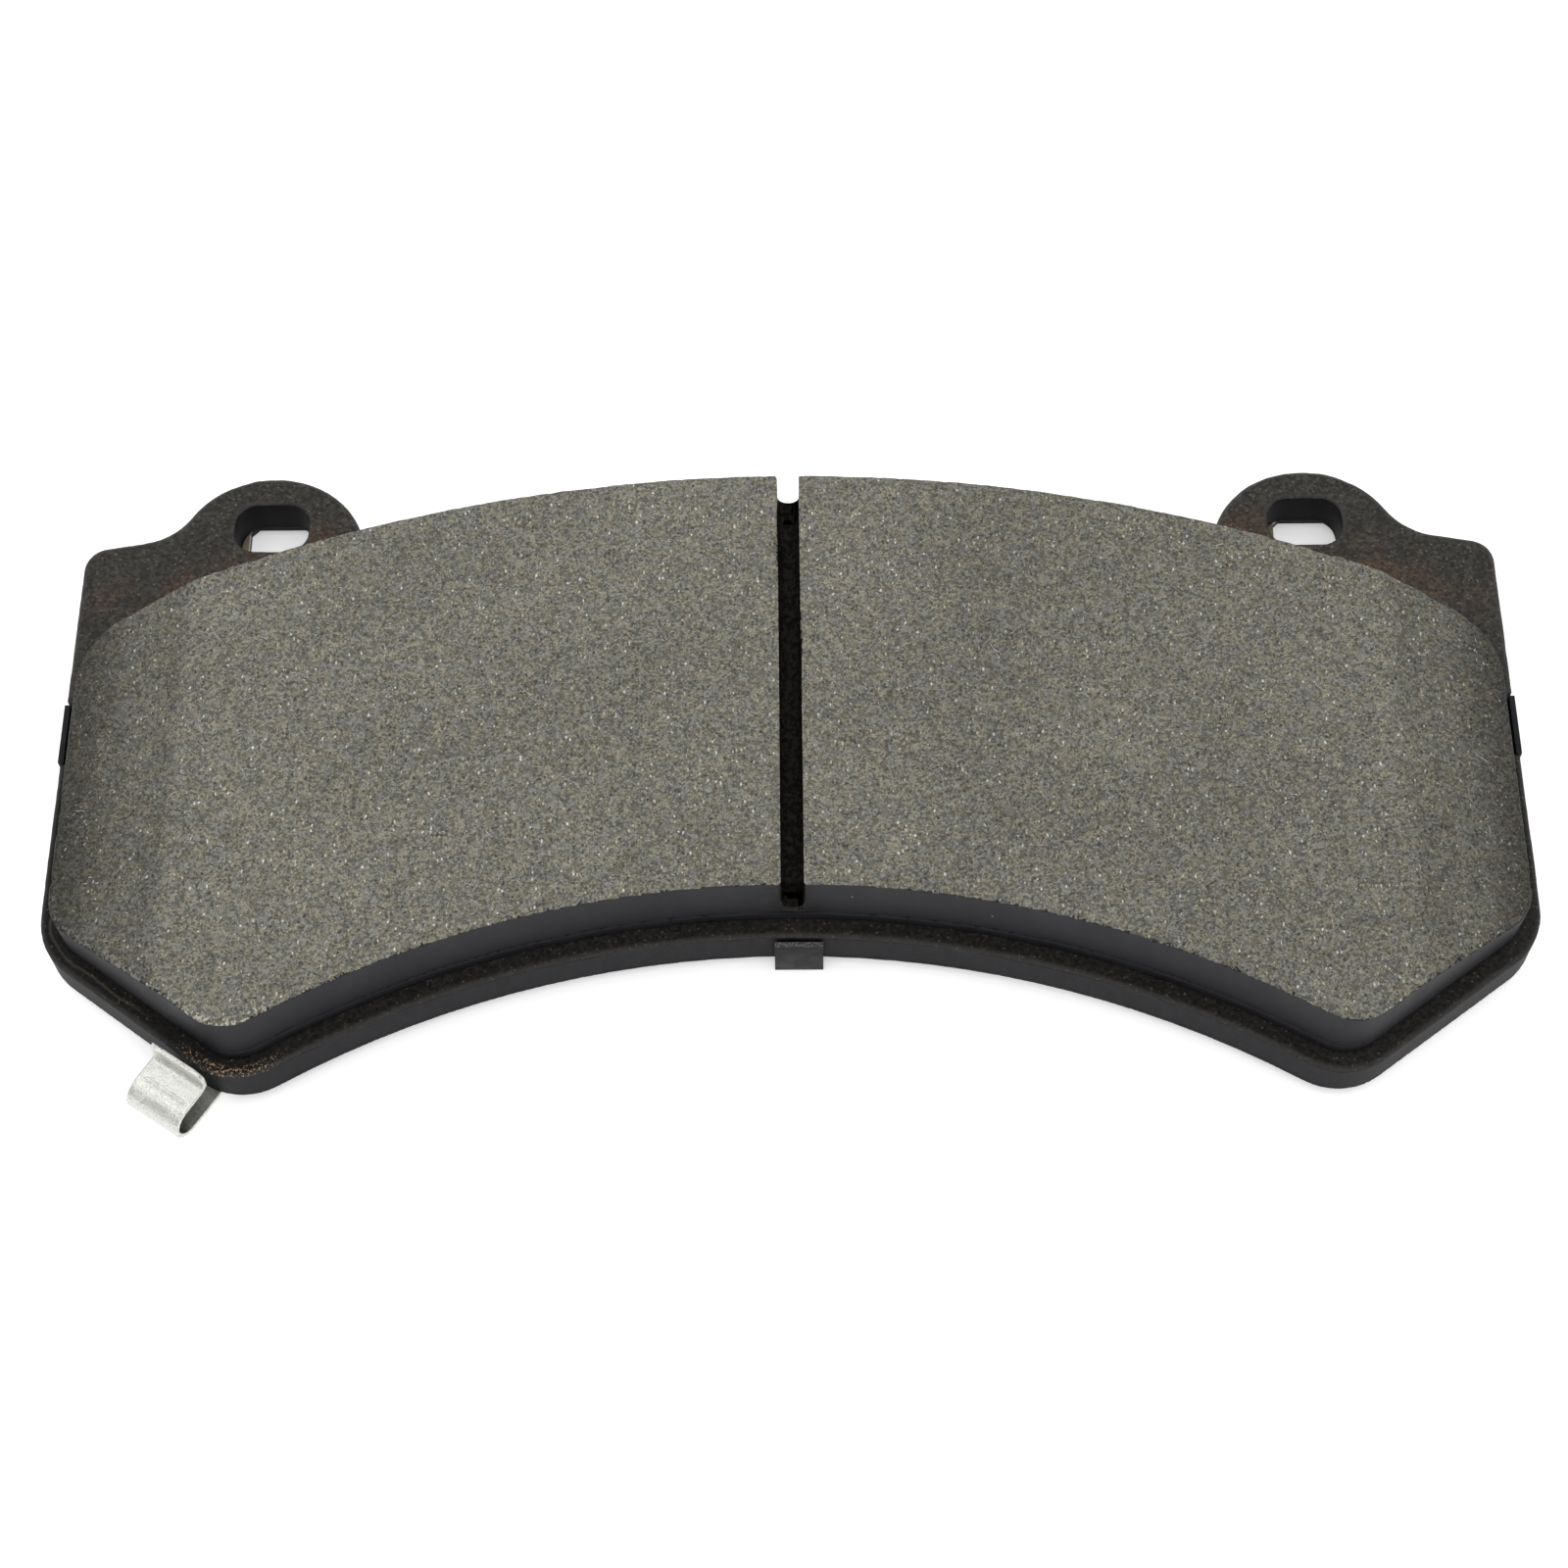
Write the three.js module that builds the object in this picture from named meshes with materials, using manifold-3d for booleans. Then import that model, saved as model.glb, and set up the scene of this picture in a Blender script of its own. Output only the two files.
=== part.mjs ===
// Disc-brake pad for a fixed multi-piston caliper: steel backing plate with two pin ears, moulded
// underlayer and friction lining, four-layer anti-noise shim and a riveted spring wear indicator.
// Millimetres. X runs along the pad, +Y points outwards from the wheel axis, +Z out of the friction face.
// Shapes are drawn around the wheel axis (x = 0, y = 0) with the shim's back face at z = 0, and the
// finished pad is then moved so that the origin is the middle of its footprint.

import * as THREE from 'three';
import { mergeVertices } from 'three/addons/utils/BufferGeometryUtils.js';
import Module from 'manifold-3d';

const wasm = await Module();
wasm.setup();

// ---- driving dimensions ---------------------------------------------------------------------

// backing plate
const plateThickness = 6;
const plateHalfLength = 92.3;
const plateOuterRadius = 198.2;
const innerArcCenterY = 12.6;
const plateInnerRadius = 123.6;
const lobeX = 66.5;
const lobeRadius = 8.4;
const diagonalAngle = THREE.MathUtils.degToRad(36.1);
const lowerCornerRadius = 9.2;
const upperCornerY = 192.4;
const upperCornerRadius = 3.3;
const upperEdgeSlope = THREE.MathUtils.degToRad(10);

// ears and their slotted pin holes
const earX = 68.1;
const earY = 191.05;
const earRadius = 12.6;
const earOuterFillet = 8.5;
const earInnerFillet = 5;
const pinSlotY = 195.9;
const pinSlotLength = 9.7;
const pinSlotHeight = 7.1;
const pinSlotCornerRadius = 2.9;

// friction lining on its underlayer
const underlayerThickness = 2;
const frictionThickness = 8.3;
const liningOuterRadius = 196.8;
const liningMargin = 2.35;
const liningUpperCornerRadius = 9.5;
const chamferLength = 14.95;
const chamferSlope = 0.3;
const grooveWidth = 2.75;
const grooveDepth = 6.8;
const grooveShift = 0.3;
const grooveTurn = THREE.MathUtils.degToRad(0.4);

// moulding holes of the plate, filled by plugs of the underlayer
const retentionHoleRadius = 4;
const retentionPitchRadius = 169;
const retentionAngles = [-19, -6.5, 6.5, 19].map(THREE.MathUtils.degToRad);
const retentionPlugRecess = 0.4;

// shim, outermost layer first
const shimPlateThickness = 0.7;
const shimDampingThickness = 0.3;
const shimInnerPlateThickness = 0.5;
const shimAdhesiveThickness = 0.2;
const shimInset = 1.2;
const shimAdhesiveInset = 2;
const shimShift = 1.2;
const shimHoleOffsetX = 0.4;
const shimHoleOffsetY = 0.5;
const shimHoleOversize = 0.5;
const shimHoleClip = 1;

// bent tabs of the shim
const sideTabY = 165.3;
const sideTabWidth = 8.3;
const sideTabStandOut = 0.25;
const sideTabDrop = 0.3;
const innerTabWidth = 6;
const innerTabDrop = 0.8;

// wear indicator, a spring strip bent into a loop beside one lower corner
const stripThickness = 0.6;
const stripWidth = 7.8;
const stripTurn = THREE.MathUtils.degToRad(2.5);
const stripShift = 1.4;
const stripReach = 7.6;
const stripLoopRadius = 2.8;
const stripStandOff = 0.7;
const stripFlangeRise = 1.8;
const stripFlangeBend = 0.7;
const stripFlangeCorner = 1.3;
const stripTailLength = 10.5;
const rivetInset = 6.2;
const rivetShankRadius = 2;
const rivetHeadRadius = 3.3;
const rivetHeadHeight = 0.9;

// clearances and mesh fineness
const cutGap = 0.3;
const shimCutoutGap = 0.6;
const chordError = 0.02;
const samePoint = 1e-4;
const overcut = 1;
const roundSteps = 28;

// ---- worked-out levels and places -----------------------------------------------------------

const dampingZ = shimPlateThickness;
const shimInnerPlateZ = dampingZ + shimDampingThickness;
const adhesiveZ = shimInnerPlateZ + shimInnerPlateThickness;
const plateZ = adhesiveZ + shimAdhesiveThickness;
const plateTopZ = plateZ + plateThickness;
const frictionZ = plateTopZ + underlayerThickness;
const frictionTopZ = frictionZ + frictionThickness;
const sideTabTopZ = plateTopZ - sideTabDrop;
const innerTabTopZ = plateTopZ - innerTabDrop;
const flangeTopZ = plateTopZ + stripFlangeRise;
const sideTabDepth = shimPlateThickness + cutGap - sideTabStandOut;
const chamferStartX = plateHalfLength - liningMargin - chamferLength;

// ---- plane geometry helpers -----------------------------------------------------------------

const vec = (x, y) => new THREE.Vector2(x, y);
const along = (point, direction, distance) => point.clone().addScaledVector(direction, distance);
const towards = (from, to, distance) => along(from, to.clone().sub(from).normalize(), distance);

// Centre that lies at one distance from each of two points, left or right of the line joining them.
function centerBetween(a, distanceA, b, distanceB, side) {
  const span = a.distanceTo(b);
  const run = (distanceA ** 2 - distanceB ** 2 + span ** 2) / (2 * span);
  const rise = Math.sqrt(distanceA ** 2 - run ** 2) * side;
  const axis = b.clone().sub(a).normalize();
  return along(along(a, axis, run), vec(-axis.y, axis.x), rise);
}

// Points of an arc from one point to another, turning clockwise or not.
function arc(center, start, end, clockwise = false) {
  const radius = center.distanceTo(start);
  const from = start.clone().sub(center).angle();
  const to = end.clone().sub(center).angle();
  const curve = new THREE.EllipseCurve(center.x, center.y, radius, radius, from, to, clockwise);
  const turn = curve.getLength() / radius;
  return curve.getPoints(Math.ceil(turn / (2 * Math.acos(1 - chordError / radius))));
}

const distinct = (points) => points.filter((p, i) => p.distanceTo(points.at(i - 1)) > samePoint);

// Closed outline from the points of its +X half, walked from the bottom middle to the top middle.
function mirrored(half) {
  const other = half.map((p) => vec(-p.x, p.y)).reverse();
  return distinct([...half, ...other]);
}

function roundedRectangle(center, width, height, radius) {
  const corners = [[1, -1], [1, 1], [-1, 1], [-1, -1]];
  return distinct(corners.flatMap(([sx, sy]) => {
    const hub = vec(center.x + sx * (width / 2 - radius), center.y + sy * (height / 2 - radius));
    const start = sx === sy ? vec(hub.x + sx * radius, hub.y) : vec(hub.x, hub.y + sy * radius);
    const end = sx === sy ? vec(hub.x, hub.y + sy * radius) : vec(hub.x + sx * radius, hub.y);
    return arc(hub, start, end);
  }));
}

function clippedRectangle(center, width, height, clip) {
  const w = width / 2;
  const h = height / 2;
  const corners = [
    [w, clip - h], [w, h - clip], [w - clip, h], [clip - w, h],
    [-w, h - clip], [-w, clip - h], [clip - w, -h], [w - clip, -h],
  ];
  return corners.map(([x, y]) => vec(center.x + x, center.y + y));
}

// ---- solid helpers --------------------------------------------------------------------------

function toSolid(geometry) {
  geometry.deleteAttribute('normal');
  geometry.deleteAttribute('uv');
  const merged = mergeVertices(geometry, samePoint);
  return new wasm.Manifold(new wasm.Mesh({
    numProp: 3,
    vertProperties: merged.attributes.position.array,
    triVerts: Uint32Array.from(merged.index.array),
  }));
}

function toGeometry(solid) {
  const mesh = solid.getMesh();
  const geometry = new THREE.BufferGeometry();
  geometry.setAttribute('position', new THREE.BufferAttribute(mesh.vertProperties, 3));
  geometry.setIndex(new THREE.BufferAttribute(mesh.triVerts, 1));
  geometry.computeVertexNormals();
  return geometry;
}

function slab(points, bottomZ, topZ) {
  const settings = { depth: topZ - bottomZ, bevelEnabled: false };
  return toSolid(new THREE.ExtrudeGeometry(new THREE.Shape(points), settings).translate(0, 0, bottomZ));
}

function block(minX, maxX, minY, maxY, minZ, maxZ) {
  const box = new THREE.BoxGeometry(maxX - minX, maxY - minY, maxZ - minZ);
  return toSolid(box.translate((minX + maxX) / 2, (minY + maxY) / 2, (minZ + maxZ) / 2));
}

function disc(center, radius, bottomZ, topZ) {
  const circle = new THREE.EllipseCurve(center.x, center.y, radius, radius);
  return slab(distinct(circle.getPoints(roundSteps)), bottomZ, topZ);
}

// A section drawn in X and Z, run along Y.
function runAlongY(points, minY, maxY) {
  const settings = { depth: maxY - minY, bevelEnabled: false };
  const geometry = new THREE.ExtrudeGeometry(new THREE.Shape(points), settings);
  return toSolid(geometry.rotateX(Math.PI / 2).translate(0, maxY, 0));
}

const cutAll = (solid, tools) => tools.reduce((rest, tool) => rest.subtract(tool), solid);
const joinAll = (solid, extras) => extras.reduce((whole, extra) => whole.add(extra), solid);

// ---- outlines -------------------------------------------------------------------------------

const wheelAxis = vec(0, 0);
const innerArcCenter = vec(0, innerArcCenterY);
const lobeRise = Math.sqrt((plateInnerRadius + lobeRadius) ** 2 - lobeX ** 2);
const lobeCenter = vec(lobeX, innerArcCenterY + lobeRise);
const diagonal = vec(Math.cos(diagonalAngle), Math.sin(diagonalAngle));
const diagonalOut = vec(diagonal.y, -diagonal.x);
const diagonalStart = along(lobeCenter, diagonalOut, lobeRadius);

// Lower half of the plate's +X side: inner arc, lobe, diagonal and lower corner, moved in by an inset.
function lowerEdge(inset) {
  const apex = vec(0, innerArcCenterY + plateInnerRadius + inset);
  const lobeEntry = towards(innerArcCenter, lobeCenter, plateInnerRadius + inset);
  const lobeExit = along(lobeCenter, diagonalOut, lobeRadius - inset);
  const offset = along(lobeCenter, diagonalOut, lobeRadius - lowerCornerRadius);
  const run = (plateHalfLength - lowerCornerRadius - offset.x) / diagonal.x;
  const corner = along(offset, diagonal, run);
  const cornerEntry = along(corner, diagonalOut, lowerCornerRadius - inset);
  const cornerExit = vec(plateHalfLength - inset, corner.y);
  return [
    ...arc(innerArcCenter, apex, lobeEntry, true),
    ...arc(lobeCenter, lobeEntry, lobeExit),
    ...arc(corner, cornerEntry, cornerExit),
  ];
}

// Plate with its two ears.
function plateOutline(inset) {
  const edge = vec(Math.cos(upperEdgeSlope), -Math.sin(upperEdgeSlope));
  const edgeOut = vec(-edge.y, edge.x);
  const cornerDrop = upperCornerRadius * (edgeOut.x - 1) / edgeOut.y;
  const corner = vec(plateHalfLength - upperCornerRadius, upperCornerY + cornerDrop);
  const ear = vec(earX, earY);
  const height = earOuterFillet + vec(plateHalfLength, upperCornerY).sub(ear).dot(edgeOut);
  const reach = Math.sqrt((earRadius + earOuterFillet) ** 2 - height ** 2);
  const outer = along(along(ear, edge, reach), edgeOut, height);
  const inner = centerBetween(
    ear, earRadius + earInnerFillet, wheelAxis, plateOuterRadius + earInnerFillet, -1);
  const cornerTop = along(corner, edgeOut, upperCornerRadius - inset);
  const outerFoot = along(outer, edgeOut, -(earOuterFillet + inset));
  const outerTop = towards(outer, ear, earOuterFillet + inset);
  const innerTop = towards(inner, ear, earInnerFillet + inset);
  const innerFoot = towards(inner, wheelAxis, earInnerFillet + inset);
  return mirrored([
    ...lowerEdge(inset),
    ...arc(corner, vec(plateHalfLength - inset, corner.y), cornerTop),
    ...arc(outer, outerFoot, outerTop, true),
    ...arc(ear, outerTop, innerTop),
    ...arc(inner, innerTop, innerFoot, true),
    ...arc(wheelAxis, innerFoot, vec(0, plateOuterRadius - inset)),
  ]);
}

function liningOutline() {
  const cornerX = plateHalfLength - liningMargin - liningUpperCornerRadius;
  const cornerY = Math.sqrt((liningOuterRadius - liningUpperCornerRadius) ** 2 - cornerX ** 2);
  const corner = vec(cornerX, cornerY);
  const cornerTop = towards(wheelAxis, corner, liningOuterRadius);
  return mirrored([
    ...lowerEdge(liningMargin),
    ...arc(corner, vec(cornerX + liningUpperCornerRadius, cornerY), cornerTop),
    ...arc(wheelAxis, cornerTop, vec(0, liningOuterRadius)),
  ]);
}

// ---- wear indicator layout ------------------------------------------------------------------

// The strip lies across the diagonal edge on the -X side. Its own frame has x along the edge,
// y outwards from the edge and z up, with the plate's edge at y = 0, turned a little towards the lobe.
const stripMiddle = along(diagonalStart, diagonal, stripShift);
const stripHeading = Math.PI - diagonalAngle + stripTurn;
const stripPlacement = new THREE.Matrix4().makeRotationZ(stripHeading);
stripPlacement.setPosition(-stripMiddle.x, stripMiddle.y, 0);
const stripPlateGap = stripStandOff + Math.sin(stripTurn) * stripWidth / 2;
const stripFlangeY = stripPlateGap + stripThickness;
const stripLoopY = stripReach - stripLoopRadius;
const stripLoopZ = plateZ - stripThickness + stripLoopRadius;
const placed = (solid) => toSolid(toGeometry(solid).applyMatrix4(stripPlacement));

// ---- pieces ---------------------------------------------------------------------------------

const retentionCenters = retentionAngles.map((angle) => vec(
  retentionPitchRadius * Math.sin(angle),
  retentionPitchRadius * Math.cos(angle),
));

// Notch in the plate's side for a shim tab.
function sideNotch(side) {
  const floor = side * (plateHalfLength - sideTabDepth);
  const beyond = side * (plateHalfLength + overcut);
  const minY = sideTabY - sideTabWidth / 2 - cutGap;
  const maxY = sideTabY + sideTabWidth / 2 + cutGap;
  return block(Math.min(floor, beyond), Math.max(floor, beyond), minY, maxY, 0, frictionTopZ);
}

function backingPlate() {
  const slots = [-1, 1].map((side) => slab(
    roundedRectangle(vec(side * earX, pinSlotY), pinSlotLength, pinSlotHeight, pinSlotCornerRadius),
    0, frictionTopZ));
  const mouldingHoles = retentionCenters.map((c) => disc(c, retentionHoleRadius, 0, frictionTopZ));
  const rivetHole = placed(disc(vec(0, -rivetInset), rivetShankRadius + cutGap, 0, frictionTopZ));
  const blank = slab(plateOutline(0), plateZ, plateTopZ);
  return cutAll(blank, [...slots, ...mouldingHoles, rivetHole, sideNotch(-1), sideNotch(1)]);
}

function underlayer() {
  const plugs = retentionCenters.map((c) => disc(
    c, retentionHoleRadius - cutGap, plateZ + retentionPlugRecess, frictionZ));
  return joinAll(slab(liningOutline(), plateTopZ, frictionZ), plugs);
}

function frictionLining() {
  const halfWidth = grooveWidth / 2;
  const bedZ = frictionTopZ - grooveDepth + halfWidth;
  const mouthZ = frictionTopZ + overcut;
  const bed = arc(vec(0, bedZ), vec(-halfWidth, bedZ), vec(halfWidth, bedZ));
  const section = [...bed, vec(halfWidth, mouthZ), vec(-halfWidth, mouthZ)];
  const middle = (innerArcCenterY + plateInnerRadius + liningOuterRadius) / 2;
  const groove = runAlongY(section, -plateOuterRadius, plateOuterRadius)
    .rotate([0, 0, THREE.MathUtils.radToDeg(grooveTurn)])
    .translate([grooveShift, middle, 0]);
  const chamfers = [-1, 1].map((side) => {
    const run = plateHalfLength - chamferStartX;
    const wedge = [
      vec(side * chamferStartX, frictionTopZ),
      vec(side * plateHalfLength, frictionTopZ - run * chamferSlope),
      vec(side * plateHalfLength, mouthZ),
      vec(side * chamferStartX, mouthZ),
    ];
    return runAlongY(wedge, 0, plateOuterRadius);
  });
  return cutAll(slab(liningOutline(), frictionZ, frictionTopZ), [groove, ...chamfers]);
}

// Window through the shim for the strip and its rivet, open at the plate's edge.
function stripWindow() {
  const half = stripWidth / 2 + shimCutoutGap;
  return placed(block(-half, half, -stripTailLength - shimCutoutGap, stripReach, -overcut, plateTopZ));
}

function shimLayer(inset, bottomZ, topZ) {
  const holes = [-1, 1].map((side) => {
    const center = vec(side * (earX + shimHoleOffsetX) + shimShift, pinSlotY + shimHoleOffsetY);
    const height = pinSlotHeight + shimHoleOversize;
    const opening = clippedRectangle(center, pinSlotLength, height, shimHoleClip);
    return slab(opening, -overcut, plateTopZ);
  });
  return cutAll(slab(plateOutline(inset), bottomZ, topZ), [...holes, stripWindow()]);
}

// Tab bent up beside the plate: a foot in the plane of the shim plate and an upright.
function sideTab(side) {
  const face = side * (plateHalfLength + sideTabStandOut);
  const back = face - side * shimPlateThickness;
  const root = side * (plateHalfLength - 2 * shimInset);
  const minY = sideTabY - sideTabWidth / 2;
  const maxY = sideTabY + sideTabWidth / 2;
  const foot = block(Math.min(root, face), Math.max(root, face), minY, maxY, 0, shimPlateThickness);
  return foot.add(block(Math.min(back, face), Math.max(back, face), minY, maxY, 0, sideTabTopZ));
}

function innerTab() {
  const back = innerArcCenterY + plateInnerRadius - cutGap;
  const face = back - shimPlateThickness;
  const minX = shimShift - innerTabWidth / 2;
  const maxX = shimShift + innerTabWidth / 2;
  const foot = block(minX, maxX, face, back + 2 * shimInset, 0, shimPlateThickness);
  return foot.add(block(minX, maxX, face, back, 0, innerTabTopZ));
}

const shimPlate = () => joinAll(
  shimLayer(shimInset, 0, shimPlateThickness), [sideTab(-1), sideTab(1), innerTab()]);
const shimDamping = () => shimLayer(shimInset, dampingZ, shimInnerPlateZ);
const shimInnerPlate = () => shimLayer(shimInset, shimInnerPlateZ, adhesiveZ);
const shimAdhesive = () => shimLayer(shimAdhesiveInset, adhesiveZ, plateZ);

// Side view of the bent strip, x outwards from the plate's edge and y up.
function stripSection() {
  const innerRadius = stripLoopRadius - stripThickness;
  const upperZ = stripLoopZ + stripLoopRadius;
  const loop = vec(stripLoopY, stripLoopZ);
  const outerBend = vec(stripFlangeY + stripFlangeBend, upperZ + stripFlangeBend);
  const bendStart = vec(outerBend.x, upperZ);
  const bendEnd = vec(stripFlangeY, outerBend.y);
  const insideZ = upperZ - stripThickness;
  return [
    vec(-stripTailLength, plateZ - stripThickness),
    ...arc(loop, vec(stripLoopY, plateZ - stripThickness), vec(stripLoopY, upperZ)),
    ...arc(outerBend, bendStart, bendEnd, true),
    vec(stripFlangeY, flangeTopZ),
    vec(stripPlateGap, flangeTopZ),
    ...arc(outerBend, vec(stripPlateGap, outerBend.y), vec(outerBend.x, insideZ)),
    ...arc(loop, vec(stripLoopY, insideZ), vec(stripLoopY, stripLoopZ - innerRadius), true),
    vec(-stripTailLength, plateZ),
  ];
}

function wearIndicator() {
  const length = { depth: stripWidth, bevelEnabled: false };
  const profile = new THREE.ExtrudeGeometry(new THREE.Shape(stripSection()), length);
  const turned = new THREE.Matrix4().set(0, 0, 1, -stripWidth / 2, 1, 0, 0, 0, 0, 1, 0, 0, 0, 0, 0, 1);
  const strip = toSolid(profile.applyMatrix4(turned));

  // the flange has one round corner, on the lobe's side
  const frontMiddle = vec(stripFlangeCorner / 2, flangeTopZ / 2);
  const frontWidth = stripWidth + stripFlangeCorner;
  const front = roundedRectangle(frontMiddle, frontWidth, flangeTopZ, stripFlangeCorner);
  const trim = runAlongY(front, -stripTailLength, stripReach + overcut);
  const lower = block(-stripWidth, stripWidth, -2 * stripTailLength, 2 * stripTailLength, 0, plateTopZ);
  const hole = disc(vec(0, -rivetInset), rivetShankRadius + cutGap, 0, plateTopZ);
  return placed(strip.intersect(trim.add(lower)).subtract(hole));
}

function wearIndicatorRivet() {
  const headZ = plateZ - stripThickness - rivetHeadHeight;
  const shankTopZ = plateTopZ - cutGap;
  const profile = [
    vec(0, headZ),
    vec(rivetHeadRadius, headZ),
    vec(rivetHeadRadius, headZ + rivetHeadHeight),
    vec(rivetShankRadius, headZ + rivetHeadHeight),
    vec(rivetShankRadius, shankTopZ),
    vec(0, shankTopZ),
  ];
  const turned = new THREE.LatheGeometry(profile, roundSteps).rotateX(Math.PI / 2);
  return placed(toSolid(turned.translate(0, -rivetInset, 0)));
}

// ---- materials ------------------------------------------------------------------------------

function material(color, roughness, metalness) {
  return new THREE.MeshStandardMaterial({ color, roughness, metalness });
}

const paintedSteel = () => material(0x2c2b2a, 0.6, 0.3);
const moulding = () => material(0x26272a, 0.75, 0);
const frictionMix = () => material(0x6f6c62, 0.85, 0.1);
const rubberCoating = () => material(0x17171a, 0.7, 0);
const adhesiveFilm = () => material(0x8a7f63, 0.6, 0);
const zincPlate = () => material(0xc4c6c2, 0.4, 0.9);

// ---- assembly -------------------------------------------------------------------------------

function piece(name, solid, look) {
  const mesh = new THREE.Mesh(toGeometry(solid), look);
  mesh.name = name;
  return mesh;
}

const pad = new THREE.Group();
pad.add(
  piece('backing_plate', backingPlate(), paintedSteel()),
  piece('underlayer', underlayer(), moulding()),
  piece('friction_lining', frictionLining(), frictionMix()),
  piece('shim_plate', shimPlate(), rubberCoating()),
  piece('shim_damping_layer', shimDamping(), rubberCoating()),
  piece('shim_inner_plate', shimInnerPlate(), rubberCoating()),
  piece('shim_adhesive', shimAdhesive(), adhesiveFilm()),
  piece('wear_indicator', wearIndicator(), zincPlate()),
  piece('wear_indicator_rivet', wearIndicatorRivet(), zincPlate()),
);

const footprint = new THREE.Box3().setFromObject(pad);
pad.position.y = -(footprint.min.y + footprint.max.y) / 2;

export default pad;
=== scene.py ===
"""Looks of a disc-brake pad for a multi-piston caliper: ground friction face, moulded walls, blasted and
painted plate, rubber-coated shim and zinc-plated spring strip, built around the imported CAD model.
Sizes in this file are millimetres and become metres where a mesh, light or camera is made."""

import math

import bmesh
import bpy
import numpy as np
from mathutils import Matrix, Vector


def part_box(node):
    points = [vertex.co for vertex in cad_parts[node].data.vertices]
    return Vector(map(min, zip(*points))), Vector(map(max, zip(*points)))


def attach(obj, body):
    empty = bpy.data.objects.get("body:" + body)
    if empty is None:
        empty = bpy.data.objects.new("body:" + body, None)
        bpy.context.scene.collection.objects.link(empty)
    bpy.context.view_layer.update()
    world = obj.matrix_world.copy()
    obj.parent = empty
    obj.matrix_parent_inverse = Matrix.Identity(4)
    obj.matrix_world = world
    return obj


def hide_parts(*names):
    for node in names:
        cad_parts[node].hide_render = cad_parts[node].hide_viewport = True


MM = 0.001
BODY = "root"

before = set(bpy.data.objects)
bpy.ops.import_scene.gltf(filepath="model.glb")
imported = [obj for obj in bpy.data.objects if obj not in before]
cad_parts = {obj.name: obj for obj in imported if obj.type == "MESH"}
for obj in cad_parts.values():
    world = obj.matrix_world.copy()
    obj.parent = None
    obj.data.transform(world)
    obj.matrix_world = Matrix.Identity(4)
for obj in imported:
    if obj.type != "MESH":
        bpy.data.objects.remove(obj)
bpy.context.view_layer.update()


# ---- measures taken from the frame ----------------------------------------------------------

def node_box(node):
    low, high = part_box(node)
    return np.array(low) / MM, np.array(high) / MM


plate_low, plate_high = node_box("backing_plate")
lining_low, lining_high = node_box("friction_lining")
underlayer_low, underlayer_high = node_box("underlayer")
strip_low, strip_high = node_box("wear_indicator")
rivet_low, rivet_high = node_box("wear_indicator_rivet")
shim_low, shim_high = node_box("shim_plate")

PLATE_TOP = plate_high[2]
PLATE_BOTTOM = plate_low[2]
FACE_Z = lining_high[2]
TAB_END_Z = PLATE_TOP - 0.8
FOOT_Z = PLATE_TOP
LINING_HALF = lining_high[0]

# shape of the lining that its box doesn't give
CHAMFER_LENGTH = 14.95
CHAMFER_SLOPE = 0.3
CHAMFER_X = LINING_HALF - CHAMFER_LENGTH
GROOVE_HALF = 1.375
GROOVE_DEPTH = 6.8
GROOVE_TURN = math.radians(0.4)
GROOVE_SHIFT = 0.3
GROOVE_BED_Z = FACE_Z - GROOVE_DEPTH + GROOVE_HALF
GROOVE_MIDDLE_Y = lining_high[1] - 30.3

# mesh fineness
LINING_VOXEL = 0.42
PLATE_VOXEL = 0.33
STRIP_VOXEL = 0.12
COARSE_STEP = 1.0
HIDDEN_DEPTH = 2.6
FILL_DEPTH = 1.0
FINE_EDGE = 0.02
FIBRE_TRIES = 2400
CRUMBS = 90
CREASE_REACH = 10.4
CORNER_TURN = math.cos(math.radians(25))
SMOOTH_ANGLE = math.radians(50)
NOISE_TABLE = 64


# ---- mesh helpers ---------------------------------------------------------------------------

def merged_bmesh(node):
    """The CAD node's mesh, in millimetres, with its split corners joined again."""
    bm = bmesh.new()
    bm.from_mesh(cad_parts[node].data)
    bmesh.ops.scale(bm, vec=(1 / MM,) * 3, verts=bm.verts)
    bmesh.ops.remove_doubles(bm, verts=bm.verts, dist=0.001)
    return bm


def new_object(name, mesh):
    thing = bpy.data.objects.new(name, mesh)
    bpy.context.scene.collection.objects.link(thing)
    return thing


def remeshed(node, voxel):
    """Vertices and quads of an even mesh over a CAD node, in millimetres."""
    bm = merged_bmesh(node)
    mesh = bpy.data.meshes.new("blank")
    bm.to_mesh(mesh)
    bm.free()
    blank = new_object("blank", mesh)
    modifier = blank.modifiers.new("even", "REMESH")
    modifier.mode = "VOXEL"
    modifier.voxel_size = voxel
    even = blank.evaluated_get(bpy.context.evaluated_depsgraph_get()).to_mesh()
    points = np.zeros(len(even.vertices) * 3)
    even.vertices.foreach_get("co", points)
    quads = np.zeros(len(even.polygons) * 4, int)
    even.polygons.foreach_get("vertices", quads)
    bpy.data.objects.remove(blank)
    bpy.data.meshes.remove(mesh)
    return points.reshape(-1, 3), quads.reshape(-1, 4)


def kept_part(points, quads, keep):
    """The quads that are kept, and their vertices. Where the rim of the part would touch itself at a
    vertex, the quads around it stay too, so that every opening has a simple rim."""
    while True:
        sides = np.stack([quads[keep], np.roll(quads[keep], -1, axis=1)], -1).reshape(-1, 2)
        sides, uses = np.unique(np.sort(sides, axis=1), axis=0, return_counts=True)
        touched, times = np.unique(sides[uses == 1], return_counts=True)
        pinched = np.isin(quads, touched[times > 2]).any(1) & ~keep
        if not pinched.any():
            break
        keep = keep | pinched
    quads = quads[keep]
    used, packed = np.unique(quads, return_inverse=True)
    return points[used], packed.reshape(-1, 4)


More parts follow.
